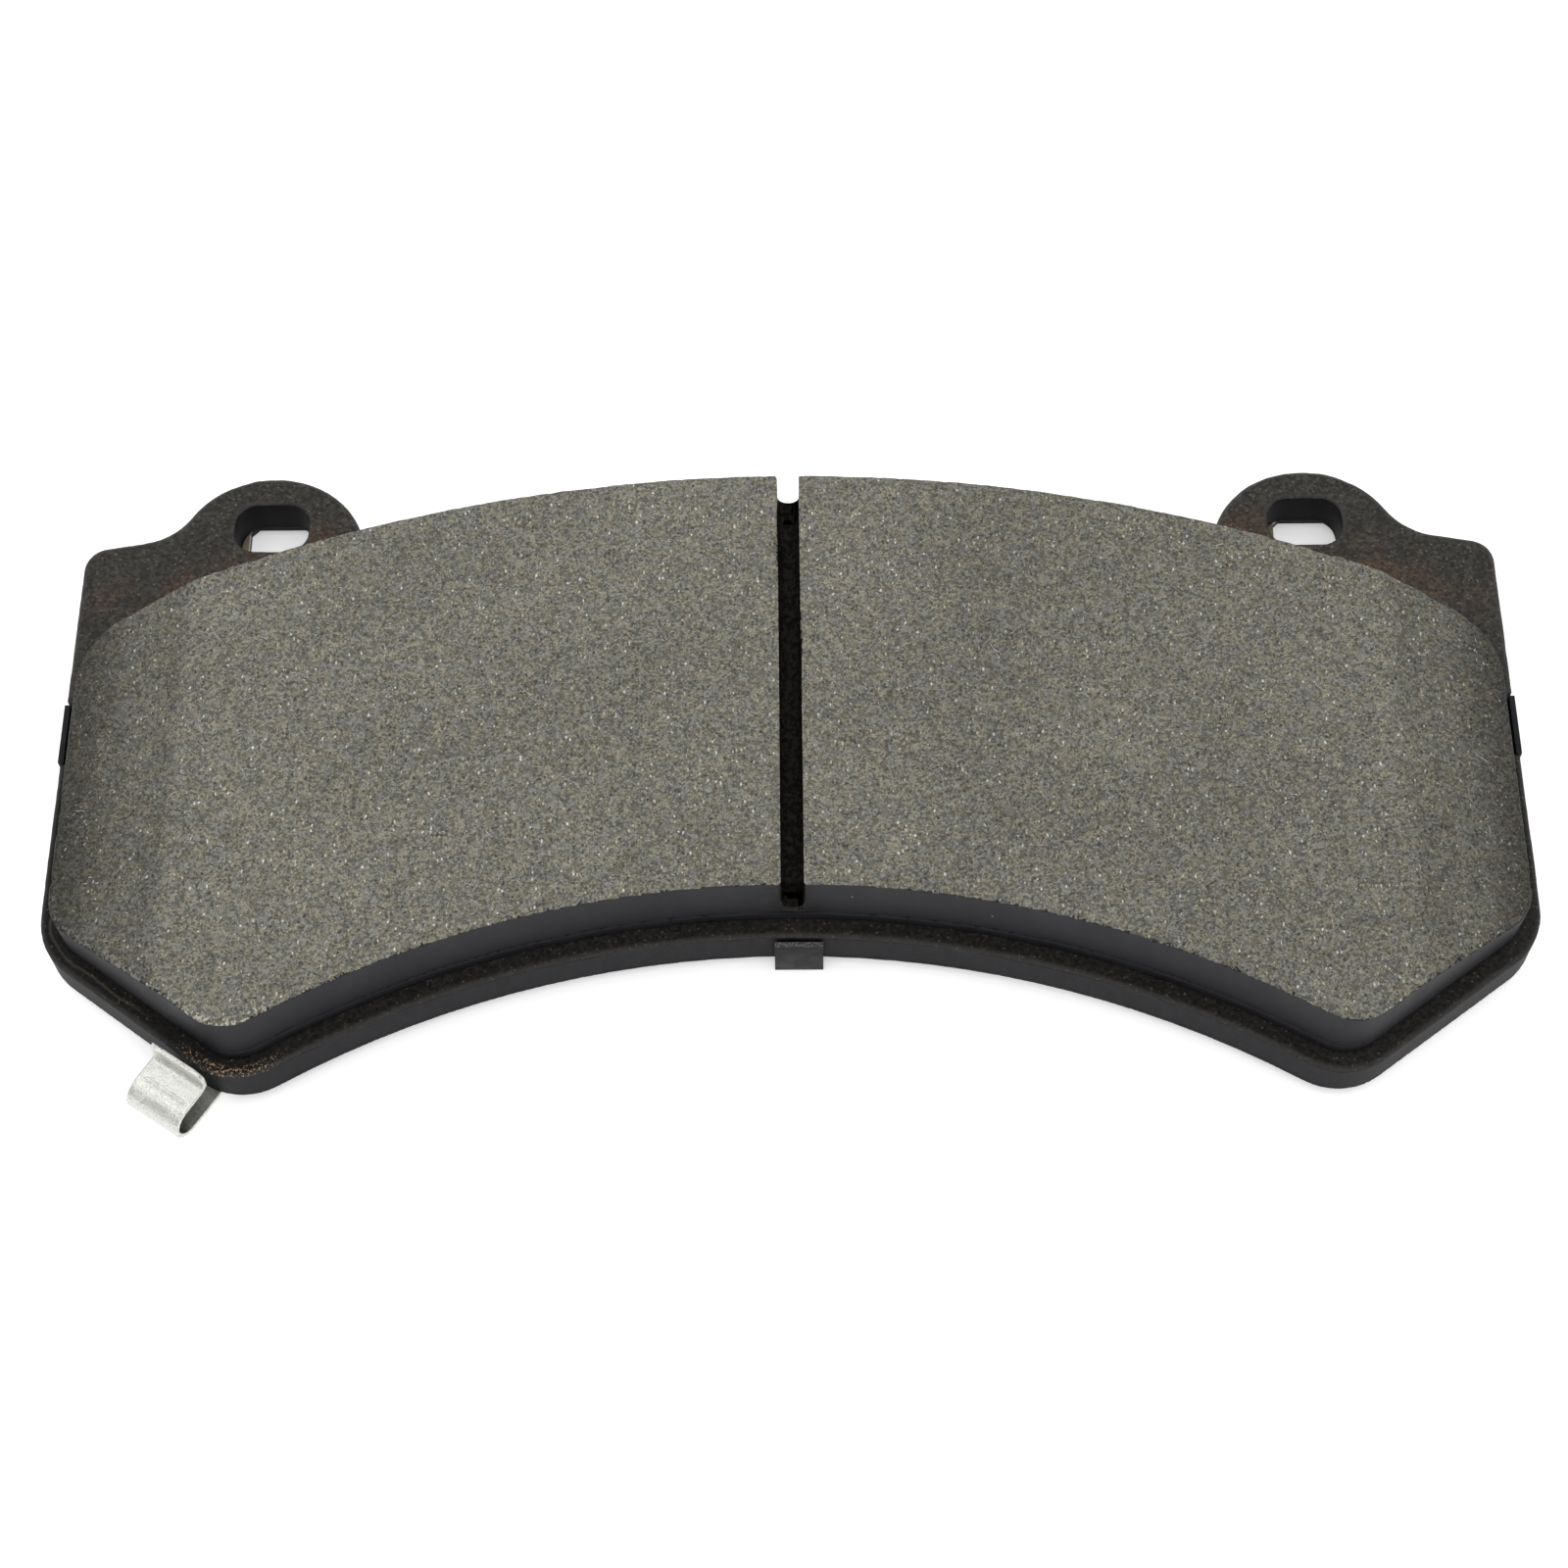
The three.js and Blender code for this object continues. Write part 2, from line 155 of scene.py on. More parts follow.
def closed_mesh(name, points, quads, planes=(), edges=None):
    """A mesh in metres, with the openings that lie in the given levels filled flat. Each plane is a
    level and the side it faces, 1 for up and -1 for down. Fill that runs outside the outline, across
    a hollow side or a hole, is dropped."""
    mesh = bpy.data.meshes.new(name)
    mesh.from_pydata(points * MM, [], quads.tolist())
    bm = bmesh.new()
    bm.from_mesh(mesh)
    for level, facing in planes:
        rim = [e for e in bm.edges if e.is_boundary
               and all(abs(v.co.z / MM - level) < PLATE_VOXEL for v in e.verts)]
        fill = bmesh.ops.triangle_fill(bm, edges=rim, use_beauty=False, use_dissolve=False)["geom"]
        fill = [f for f in fill if isinstance(f, bmesh.types.BMFace)]
        middles = np.array([f.calc_center_median() for f in fill]).reshape(-1, 3) / MM
        outside = nearest(edges, middles)[0] < FILL_DEPTH
        bmesh.ops.delete(bm, geom=[f for f, out in zip(fill, outside) if out], context="FACES")
        for face in [f for f in fill if f.is_valid]:
            face.normal_update()
            if face.normal.z * facing < 0:
                face.normal_flip()
    bm.to_mesh(mesh)
    bm.free()
    mesh.polygons.foreach_set("use_smooth", np.ones(len(mesh.polygons), bool))
    mesh.set_sharp_from_angle(angle=SMOOTH_ANGLE)
    return mesh


def add_attribute(mesh, name, values):
    """A number for each vertex; vertices made later by a fill come last and get the last number."""
    padded = np.full(len(mesh.vertices), values[-1], np.float32)
    padded[:len(values)] = values
    mesh.attributes.new(name, "FLOAT", "POINT").data.foreach_set("value", padded)


def noise(points, size, seed):
    """Smooth random values from -1 to 1 with features of the given size in millimetres."""
    table = np.random.default_rng(seed).uniform(-1, 1, (NOISE_TABLE,) * 3)
    cell = points / size
    low = np.floor(cell).astype(int)
    part = cell - low
    part = part * part * (3 - 2 * part)
    total = np.zeros(len(points))
    for corner in np.ndindex(2, 2, 2):
        at = (low + corner) % NOISE_TABLE
        weight = np.prod(np.where(corner, part, 1 - part), axis=1)
        total += weight * table[at[:, 0], at[:, 1], at[:, 2]]
    return total


def smooth_step(low, high, values):
    t = np.clip((values - low) / (high - low), 0, 1)
    return t * t * (3 - 2 * t)


# ---- outlines -------------------------------------------------------------------------------

def outline(node, level):
    """The edges of a node's flat face at a level, as segments with the solid on their left:
    start points, end points and the outward normals at both ends."""
    bm = merged_bmesh(node)
    flat = {f for f in bm.faces if abs(f.normal.z) > 0.99
            and abs(f.calc_center_median().z - level) < 0.01}
    up = next(iter(flat)).normal.z > 0
    follow = {}
    for face in flat:
        for loop in face.loops:
            if any(f not in flat for f in loop.edge.link_faces):
                a, b = loop.vert, loop.link_loop_next.vert
                if not up:
                    a, b = b, a
                follow[tuple(a.co.xy)] = tuple(b.co.xy)
    bm.free()
    starts, ends = np.array(list(follow)), np.array(list(follow.values()))
    run = ends - starts
    run /= np.linalg.norm(run, axis=1, keepdims=True)
    normal = np.stack([run[:, 1], -run[:, 0]], 1)
    index = {p: i for i, p in enumerate(follow)}
    after = np.array([index[tuple(p)] for p in follow.values()])
    before = np.empty_like(after)
    before[after] = np.arange(len(after))
    return starts, ends, eased(normal, normal[before]), eased(normal, normal[after])


def eased(own, neighbour):
    """The mean of two normals where the outline runs on smoothly, else the segment's own."""
    smooth = np.sum(own * neighbour, axis=1) > CORNER_TURN
    mean = np.where(smooth[:, None], own + neighbour, own)
    return mean / np.linalg.norm(mean, axis=1, keepdims=True)


def nearest(edges, points):
    """Depth inside the outline, nearest outline point and its outward normal, for points in X and Y."""
    starts, ends, normal_a, normal_b = edges
    run = ends - starts
    length = np.sum(run * run, axis=1)
    depth, spot, normal = np.zeros(len(points)), np.zeros((len(points), 2)), np.zeros((len(points), 2))
    block = 4000
    for first in range(0, len(points), block):
        p = points[first:first + block, None, :2]
        t = np.clip(np.sum((p - starts) * run, axis=2) / length, 0, 1)
        away = np.sum((p - starts - t[..., None] * run) ** 2, axis=2)
        best = np.argmin(away, axis=1)
        rows = np.arange(len(best))
        share = t[rows, best][:, None]
        at = starts[best] + share * run[best]
        out = normal_a[best] * (1 - share) + normal_b[best] * share
        out /= np.linalg.norm(out, axis=1, keepdims=True)
        side = np.sign(np.sum((p[:, 0] - at) * out, axis=1))
        depth[first:first + block] = -side * np.sqrt(away[rows, best])
        spot[first:first + block] = at
        normal[first:first + block] = out
    return depth, spot, normal


def rough_depth(edges, points):
    """Depth inside the outline read from a coarse grid, for choosing what to leave out."""
    low = points[:, :2].min(0) - COARSE_STEP
    count = np.ceil((points[:, :2].max(0) + COARSE_STEP - low) / COARSE_STEP).astype(int) + 1
    grid = np.stack(np.meshgrid(*[np.arange(n) for n in count], indexing="ij"), -1).reshape(-1, 2)
    depth = nearest(edges, grid * COARSE_STEP + low)[0].reshape(count)
    cell = np.rint((points[:, :2] - low) / COARSE_STEP).astype(int)
    return depth[cell[:, 0], cell[:, 1]]


def rounded_edge(depth, drop, width, height):
    """Moves points near a sharp edge, given by their depth from the wall and their drop below the top,
    onto a quarter ellipse of that width and height."""
    along = np.clip((depth - drop + height) / (width + height), 0, 1) * math.pi / 2
    on_arc = (depth - drop > -height) & (depth - drop < width)
    on_top = depth - drop >= width
    new_depth = np.where(on_arc, width * (1 - np.cos(along)), np.where(on_top, depth, 0))
    new_drop = np.where(on_arc, height * (1 - np.sin(along)), np.where(on_top, 0, drop))
    return new_depth, new_drop


# ---- friction lining ------------------------------------------------------------------------

def face_level(points):
    """Height of the ground face: flat, with a long chamfer at each end."""
    return FACE_Z - CHAMFER_SLOPE * np.maximum(np.abs(points[:, 0]) - CHAMFER_X, 0)


def from_groove(points):
    """Signed distance from the middle of the groove, positive to the right."""
    across = points[:, 0] - GROOVE_SHIFT
    return across * math.cos(GROOVE_TURN) + (points[:, 1] - GROOVE_MIDDLE_Y) * math.sin(GROOVE_TURN)


def wall_swell(points):
    """Shallow waves of the moulded wall, the same for the lining and the underlayer."""
    flat = points * (1, 1, 0.25)
    return 0.035 * noise(flat, 9, 11) + 0.02 * noise(flat, 2.5, 12) - 0.05


def pits(points, count, seed):
    """Depth of small round pits, scattered over the face."""
    rng = np.random.default_rng(seed)
    depth = np.zeros(len(points))
    for _ in range(count):
        spot = rng.uniform(lining_low[:2], lining_high[:2])
        radius = rng.uniform(0.5, 1.1)
        deep = rng.uniform(0.1, 0.4)
        away = np.linalg.norm((points[:, :2] - spot) * rng.uniform(0.8, 1.25, 2), axis=1) / radius
        depth = np.maximum(depth, deep * (1 - smooth_step(0.2, 1, away)))
    return depth


def make_lining():
    points, quads = remeshed("friction_lining", LINING_VOXEL)
    edges = outline("friction_lining", lining_low[2])
    inside = rough_depth(edges, points)
    hidden = (points[:, 2] < lining_low[2] + LINING_VOXEL / 2) & (inside > HIDDEN_DEPTH)
    points, quads = kept_part(points, quads, ~hidden[quads].all(1))
    depth, spot, normal = nearest(edges, points)

    in_groove = points[:, 2] > GROOVE_BED_Z
    across = from_groove(points)
    groove_depth = np.abs(across) - GROOVE_HALF
    by_groove = in_groove & (groove_depth < depth)
    side = np.sign(across)
    groove_normal = -side[:, None] * np.array([math.cos(GROOVE_TURN), math.sin(GROOVE_TURN)])
    groove_spot = points[:, :2] + groove_normal * groove_depth[:, None]
    depth = np.where(by_groove, groove_depth, depth)
    spot = np.where(by_groove[:, None], groove_spot, spot)
    normal = np.where(by_groove[:, None], groove_normal, normal)

    # a broken edge: crumbs are missing here and there, more at the ends than in the middle
    at = np.column_stack([spot, np.zeros(len(spot))])
    ends = smooth_step(40, 75, np.abs(points[:, 0]))
    lower = 0.45 + 0.55 * smooth_step(12, -12, points[:, 1])
    chips = smooth_step(0.25, 0.9, noise(at, 1.6, 21)) * (0.4 + 0.5 * ends) * lower
    crumbs = (0.16 * noise(at, 0.7, 22) + 0.14 * noise(at, 3.5, 23)) * lower
    width = np.maximum(0.42 + 0.3 * ends + crumbs + chips, 0.12)
    height = np.maximum(0.3 + 0.1 * ends + 0.8 * crumbs + 0.6 * chips, 0.1)
    width = np.where(by_groove, 0.35 * width, width)
    height = np.where(by_groove, 0.5 * height, height)

    level = face_level(points)
    above = points[:, 2] > (lining_low[2] + level) / 2
    drop = level - points[:, 2]
    new_depth, new_drop = rounded_edge(depth, drop, width, height)
    near = above & (new_depth < 3)
    inner = ~in_groove & (np.abs(across) < GROOVE_HALF + LINING_VOXEL)
    near &= ~inner
    moved = points.copy()
    moved[:, :2] = np.where(near[:, None], spot - normal * new_depth[:, None], points[:, :2])
    top = above & ~inner & (drop < LINING_VOXEL)
    moved[:, 2] = np.where(near | top, face_level(moved) - new_drop, points[:, 2])

    moved = crisp_bottom(moved, ~above, lining_low[2], depth, spot, normal)
    outer = (depth < 1.5 * LINING_VOXEL) & ~by_groove & (drop > 0.5)
    swell = np.where(outer, wall_swell(moved), 0)
    moved[:, :2] += normal * swell[:, None]

    grain = 0.03 * noise(moved, 0.9, 31) + 0.022 * noise(moved, 1.9, 32) - 0.055
    rough_rim = 0.06 * noise(moved, 0.8, 33) * ((new_depth < 1.3) & near)
    sunk = pits(moved, 90, 34)
    moved[:, 2] += np.where(near | top, (grain - sunk + rough_rim) * (new_drop < 1.2), 0)
    moved[:, 2] = np.minimum(moved[:, 2], FACE_Z)
    groove_wall = by_groove & (drop > 0.4)
    moved[:, 0] += np.where(groove_wall, side * np.abs(noise(moved, 0.9, 35)) * 0.07, 0)

    mesh = closed_mesh("lining", moved, quads, [(lining_low[2], -1)], edges)
    add_attribute(mesh, "rim", depth)
    return new_object("ground_lining", mesh)


def crisp_bottom(points, below, level, depth, spot, normal):
    """Pulls the lower part of a wall onto its outline, with a sharp corner at its bottom level."""
    new_depth, new_rise = rounded_edge(depth, points[:, 2] - level, FINE_EDGE, FINE_EDGE)
    near = below & (new_depth < 3)
    moved = points.copy()
    moved[:, :2] = np.where(near[:, None], spot - normal * new_depth[:, None], points[:, :2])
    moved[:, 2] = np.where(near, level + new_rise, points[:, 2])
    return moved


def make_underlayer():
    points, quads = remeshed("underlayer", LINING_VOXEL)
    edges = outline("underlayer", underlayer_high[2])
    inside = rough_depth(edges, points)
    flat = (points[:, 2] > underlayer_high[2] - LINING_VOXEL / 2) & (inside > HIDDEN_DEPTH)
    points, quads = kept_part(points, quads, ~flat[quads].all(1))
    depth, spot, normal = nearest(edges, points)
    middle = (PLATE_TOP + underlayer_high[2]) / 2
    upper = points[:, 2] > middle
    lower = ~upper & (points[:, 2] > PLATE_TOP - LINING_VOXEL) & (depth < 3)
    moved = crisp_bottom(points, lower, PLATE_TOP, depth, spot, normal)
    upside = points * (1, 1, -1)
    raised = crisp_bottom(upside, upper, -underlayer_high[2], depth, spot, normal) * (1, 1, -1)
    moved = np.where(upper[:, None], raised, moved)
    wall = (depth < LINING_VOXEL) & (moved[:, 2] >= PLATE_TOP - FINE_EDGE)
    moved[:, :2] += normal * np.where(wall, wall_swell(moved), 0)[:, None]
    mesh = closed_mesh("underlayer", moved, quads, [(underlayer_high[2], 1)], edges)
    return new_object("moulded_underlayer", mesh)


def tube(bm, line, radius, sides=6):
    """A thin closed tube along a few points."""
    rings = []
    for i, point in enumerate(line):
        run = Vector(line[min(i + 1, len(line) - 1)] - line[max(i - 1, 0)]).normalized()
        across = run.cross(Vector((0, 0, 1))).normalized()
        up = across.cross(run)
        turns = [2 * math.pi * k / sides for k in range(sides)]
        rings.append([bm.verts.new(Vector(point) + radius * (math.cos(t) * across + math.sin(t) * up))
                      for t in turns])
    for a, b in zip(rings, rings[1:]):
        for k in range(sides):
            bm.faces.new((a[k], a[(k + 1) % sides], b[(k + 1) % sides], b[k]))
    bm.faces.new(rings[0][::-1])
    bm.faces.new(rings[-1])


def make_fibres():
    """Short ends of metal fibre that the grinding left bright, lying flush in the friction face."""
    rng = np.random.default_rng(61)
    edges = outline("friction_lining", lining_low[2])
    spots = rng.uniform(lining_low[:2], lining_high[:2], (FIBRE_TRIES, 2))
    spots = spots[(nearest(edges, spots)[0] > 1.2) & (np.abs(from_groove(spots)) > GROOVE_HALF + 1)]
    bm = bmesh.new()
    for i, spot in enumerate(spots):
        long = i % 60 == 0
        length = rng.uniform(1.0, 2.2) if long else rng.uniform(0.25, 0.7)
        heading, bend = rng.uniform(0, 2 * math.pi), rng.uniform(-1.2, 1.2)
        radius = rng.uniform(0.035, 0.065)
        steps = np.linspace(-0.5, 0.5, 6 if long else 3)
        turn = heading + bend * steps
        line = spot + np.cumsum(np.column_stack([np.cos(turn), np.sin(turn)]), axis=0) * length / len(steps)
        line = np.column_stack([line, np.zeros(len(line))])
        line[:, 2] = face_level(line) - radius - 0.01 + 0.01 * rng.uniform(-1, 1)
        tube(bm, line, radius)
    return small_pieces("bright_fibres", bm)


def make_crumbs():
    """Loose-looking crumbs of friction mix along two broken stretches of the lower edge."""
    rng = np.random.default_rng(62)
    starts, _, normal, _ = outline("friction_lining", lining_low[2])
    left = (starts[:, 0] > -70) & (starts[:, 0] < -61)
    right = (starts[:, 0] > 68) & (starts[:, 0] < 76)
    lobes = (left | right) & (starts[:, 1] < -18)
    bm = bmesh.new()
    for _ in range(CRUMBS):
        pick = rng.choice(np.flatnonzero(lobes))
        along = np.array([-normal[pick, 1], normal[pick, 0]])
        spot = starts[pick] - normal[pick] * rng.uniform(0.3, 1.0) + along * rng.uniform(-1, 1)
        place = np.array([[*spot, 0]])
        lump = bmesh.ops.create_icosphere(bm, subdivisions=2, radius=rng.uniform(0.07, 0.17))["verts"]
        centre = Vector((*spot, face_level(place)[0] - rng.uniform(0.2, 0.35)))
        for v in lump:
            v.co = v.co * rng.uniform(0.75, 1.15) + centre
    return small_pieces("edge_crumbs", bm)


def small_pieces(name, bm):
    bmesh.ops.scale(bm, vec=(MM,) * 3, verts=bm.verts)
    mesh = bpy.data.meshes.new(name)
    bm.to_mesh(mesh)
    bm.free()
    mesh.polygons.foreach_set("use_smooth", np.ones(len(mesh.polygons), bool))
    return new_object(name, mesh)


# ---- backing plate --------------------------------------------------------------------------

def make_plate():
    points, quads = remeshed("backing_plate", PLATE_VOXEL)
    lining_edges = outline("underlayer", underlayer_high[2])
    edges = outline("backing_plate", PLATE_TOP)
    under_lining = rough_depth(lining_edges, points)
    inside = rough_depth(edges, points)
    top_hidden = (points[:, 2] > PLATE_TOP - PLATE_VOXEL / 2) & (under_lining > 1.5) & (inside > 1.5)
    bottom_hidden = (points[:, 2] < PLATE_BOTTOM + PLATE_VOXEL / 2) & (inside > HIDDEN_DEPTH)
    hidden = top_hidden | bottom_hidden
    points, quads = kept_part(points, quads, ~hidden[quads].all(1))
    depth, spot, normal = nearest(edges, points)
    foot = -nearest(lining_edges, points)[0]

    # the stamped top edge is rolled, the back edge keeps a small burr
    at = np.column_stack([spot, np.zeros(len(spot))])
    uneven = 0.12 * noise(at, 6, 41) + 0.06 * noise(at, 1.2, 42)
    visible = foot > 0.3
    middle = (PLATE_TOP + PLATE_BOTTOM) / 2
    above = points[:, 2] > middle
    roll_width = np.where(visible, 0.85 + uneven, 0.2)
    roll_height = np.where(visible, 0.6 + uneven, 0.2)
    drop = np.where(above, PLATE_TOP - points[:, 2], points[:, 2] - PLATE_BOTTOM)
    new_depth, new_drop = rounded_edge(
        depth, drop, np.where(above, roll_width, 0.22), np.where(above, roll_height, 0.22))
    near = (new_depth < 3) | (drop > PLATE_VOXEL / 2)
    moved = points.copy()
    moved[:, :2] = np.where(near[:, None], spot - normal * new_depth[:, None], points[:, :2])
    moved[:, 2] = np.where(above, PLATE_TOP - new_drop, PLATE_BOTTOM + new_drop)

    # blasted and painted skin: orange peel on top, long soft waves on the sheared side
    open_top = visible & above & (new_depth > 0.05)
    peel = 0.028 * noise(moved, 0.8, 43) + 0.018 * noise(moved, 1.7, 44) - 0.046
    moved[:, 2] += np.where(open_top, peel * smooth_step(0.3, 0.9, foot), 0)
    side = (new_depth < 0.1) & (new_drop > 0.6)
    shear = 0.03 * noise(moved * (1, 1, 0.3), 2.2, 45) + 0.02 * noise(moved, 7, 46) - 0.05
    moved[:, :2] += normal * np.where(side, shear, 0)[:, None]

    mesh = closed_mesh("plate", moved, quads, [(PLATE_TOP, 1), (PLATE_BOTTOM, -1)], edges)
    add_attribute(mesh, "foot", foot)
    add_attribute(mesh, "edge", depth)
    return new_object("stamped_plate", mesh)


# ---- shim, strip and rivet ------------------------------------------------------------------

def make_shim():
    """The outer shim with its tabs: bends rounded, cut edges broken."""
    bm = merged_bmesh("shim_plate")
    bmesh.ops.dissolve_limit(bm, angle_limit=math.radians(0.4), verts=bm.verts, edges=bm.edges)
    tab_edge = {shim_low[0], shim_high[0]}
    bends = []
    for e in bm.edges:
        a, b = e.verts
        if max(abs(a.co.z), abs(b.co.z)) > 0.01:
            continue
        on_side = all(min(abs(v.co.x - x) for x in tab_edge) < 0.01 for v in e.verts)
        on_inner = all(abs(v.co.y - shim_low[1]) < 0.01 for v in e.verts) and abs(a.co.y - b.co.y) < 0.01
        if on_side or on_inner:
            bends.append(e)
    bmesh.ops.bevel(bm, geom=bends, offset=0.6, segments=6, profile=0.5, affect="EDGES")
    sharp = [e for e in bm.edges if e.is_manifold and e.calc_face_angle() > math.radians(50)]
    bmesh.ops.bevel(bm, geom=sharp, offset=0.09, segments=2, profile=0.5, affect="EDGES",
                    clamp_overlap=True)
    bmesh.ops.scale(bm, vec=(MM,) * 3, verts=bm.verts)
    mesh = bpy.data.meshes.new("shim")
    bm.to_mesh(mesh)
    bm.free()
    mesh.polygons.foreach_set("use_smooth", np.ones(len(mesh.polygons), bool))
    mesh.set_sharp_from_angle(angle=math.radians(30))
    return new_object("coated_shim", mesh)


def strip_axes():
    """Middle of the rivet and the outward direction of the spring strip, in X and Y."""
    middle = (rivet_low[:2] + rivet_high[:2]) / 2
    outward = (strip_low[:2] + strip_high[:2]) / 2 - middle
    return middle, outward / np.linalg.norm(outward)


def make_strip():
    points, quads = remeshed("wear_indicator", STRIP_VOXEL)
    middle, outward = strip_axes()
    reach = (points[:, :2] - middle) @ outward - CREASE_REACH
    across = (points[:, :2] - middle) @ np.array([outward[1], -outward[0]])
    upper = (points[:, 2] > strip_high[2] - 3.6) & (points[:, 2] < strip_high[2] - 2.5)
    fold = np.where(reach > 0, np.exp(-reach / 0.7), np.exp(-(reach / 0.08) ** 2))
    fold *= smooth_step(3.4, 2.6, np.abs(across))
    points[:, 2] -= np.where(upper, 0.16 * fold, 0)
    points += 0.012 * np.stack([noise(points, 0.8, 50 + i) for i in range(3)], 1)
    points[:, 2] = np.maximum(points[:, 2], 0.05)
    mesh = closed_mesh("strip", points, quads)
    return new_object("spring_strip", mesh)


def make_rivet():
    """Rivet with a peened head, turned about its own axis."""
    middle = (rivet_low[:2] + rivet_high[:2]) / 2
    head = (rivet_high[0] - rivet_low[0]) / 2
    low, top = rivet_low[2], rivet_high[2]
    profile = [(0, low + 0.12), (0.9, low + 0.1), (1.2, low), (2.2, low + 0.04), (2.9, low + 0.2),
               (3.2, low + 0.45), (head, low + 0.7), (head - 0.05, low + 0.9), (2.0, low + 0.9),
               (2.0, top - 0.2), (1.8, top), (0, top)]
    bm = bmesh.new()
    chain = [bm.verts.new((r, 0, z)) for r, z in profile]
    for a, b in zip(chain, chain[1:]):
        bm.edges.new((a, b))
    bmesh.ops.spin(bm, geom=bm.edges[:], cent=(0, 0, 0), axis=(0, 0, 1), angle=2 * math.pi, steps=72)
    bmesh.ops.remove_doubles(bm, verts=bm.verts, dist=0.001)
    bmesh.ops.recalc_face_normals(bm, faces=bm.faces)
    bmesh.ops.translate(bm, vec=(*middle, 0), verts=bm.verts)
    bmesh.ops.scale(bm, vec=(MM,) * 3, verts=bm.verts)
    mesh = bpy.data.meshes.new("rivet")
    bm.to_mesh(mesh)
    bm.free()
    mesh.polygons.foreach_set("use_smooth", np.ones(len(mesh.polygons), bool))
    mesh.set_sharp_from_angle(angle=math.radians(35))
    return new_object("peened_rivet", mesh)


# ---- material helpers -----------------------------------------------------------------------

class Look:
    """A node material written as a few calls. Sizes are millimetres on the object."""

    def __init__(self, name):
        self.material = bpy.data.materials.new(name)
        self.material.use_nodes = True
        self.tree = self.material.node_tree
        self.tree.nodes.clear()
        place = self.add("ShaderNodeTexCoord").outputs["Object"]
        self.place = self.vector("SCALE", place, scale=1 / MM)
        self.x, self.y, self.z = self.add("ShaderNodeSeparateXYZ", Vector=self.place).outputs
        normal = self.add("ShaderNodeNewGeometry").outputs["Normal"]
        self.up = self.add("ShaderNodeSeparateXYZ", Vector=normal).outputs["Z"]

    def add(self, kind, settings=None, **inputs):
        node = self.tree.nodes.new(kind)
        for key, value in (settings or {}).items():
            setattr(node, key, value)
        for key, value in inputs.items():
            self.feed(node.inputs[key.replace("_", " ")], value)
        return node

    def feed(self, socket, value):
        if isinstance(value, bpy.types.NodeSocket):
            self.tree.links.new(value, socket)
        else:
            socket.default_value = value

    def vector(self, operation, a, b=None, scale=None):
        node = self.add("ShaderNodeVectorMath", {"operation": operation})
        self.feed(node.inputs[0], a)
        if b is not None:
            self.feed(node.inputs[1], b)
        if scale is not None:
            self.feed(node.inputs["Scale"], scale)
        return node.outputs[0]

    def math(self, operation, a, b=0.0, clamp=False):
        node = self.add("ShaderNodeMath", {"operation": operation, "use_clamp": clamp})
        self.feed(node.inputs[0], a)
        self.feed(node.inputs[1], b)
        return node.outputs[0]

    def step(self, value, low, high, first=0.0, last=1.0):
        """Turns a value into first below low and last above high, smoothly between."""
        node = self.add("ShaderNodeMapRange", {"interpolation_type": "SMOOTHSTEP"})
        for key, number in zip(("Value", "From Min", "From Max", "To Min", "To Max"),
                               (value, low, high, first, last)):
            self.feed(node.inputs[key], number)
        return node.outputs["Result"]

    def moved(self, shift, stretch=(1, 1, 1)):
        return self.vector("ADD", self.vector("MULTIPLY", self.place, stretch), (shift,) * 3)

    def noise(self, size, shift=0.0, detail=2.0, stretch=(1, 1, 1), roughness=0.5):
        return self.add("ShaderNodeTexNoise", Vector=self.moved(shift, stretch), Scale=1 / size,
                        Detail=detail, Roughness=roughness).outputs["Fac"]

    def cells(self, size, shift=0.0, stretch=(1, 1, 1), wobble=0.0):
        """Distance to the nearest cell's middle, in cells, and a random number for each cell."""
        place = self.moved(shift, stretch)
        if wobble:
            swirl = self.add("ShaderNodeTexNoise", Vector=place, Scale=1 / size).outputs["Color"]
            place = self.vector("ADD", place, self.vector("SCALE", swirl, scale=wobble))
        node = self.add("ShaderNodeTexVoronoi", Vector=place, Scale=1 / size)
        value = self.add("ShaderNodeSeparateColor", Color=node.outputs["Color"]).outputs["Red"]
        return node.outputs["Distance"], value

    def mix(self, share, a, b, blend="MIX"):
        node = self.add("ShaderNodeMix", {"data_type": "RGBA", "blend_type": blend})
        self.feed(node.inputs[0], share)
        self.feed(node.inputs[6], a if isinstance(a, bpy.types.NodeSocket) else (*a, 1))
        self.feed(node.inputs[7], b if isinstance(b, bpy.types.NodeSocket) else (*b, 1))
        return node.outputs[2]

    def shade(self, color, amount):
        """A colour made lighter or darker by a number."""
        return self.vector("SCALE", color, scale=amount)

    def attribute(self, name):
        return self.add("ShaderNodeAttribute", {"attribute_name": name}).outputs["Fac"]

    def bump(self, height, depth, below=None):
        node = self.add("ShaderNodeBump", Height=height, Distance=depth * MM, Strength=1.0)
        if below is not None:
            self.feed(node.inputs["Normal"], below)
        return node.outputs["Normal"]

    def finish(self, color, roughness, normal, metallic=0.0, specular=0.5, glow=0.0):
        shader = self.add("ShaderNodeBsdfPrincipled", Base_Color=color, Roughness=roughness,
                          Normal=normal, Metallic=metallic)
        shader.inputs["Specular IOR Level"].default_value = specular
        shader.inputs["Emission Color"].default_value = (1, 1, 1, 1)
        shader.inputs["Emission Strength"].default_value = glow
        end = self.add("ShaderNodeOutputMaterial")
        self.tree.links.new(shader.outputs["BSDF"], end.inputs["Surface"])
        return self.material


# ---- materials ------------------------------------------------------------------------------

WALL_COLOR = (0.0114, 0.0114, 0.0137)


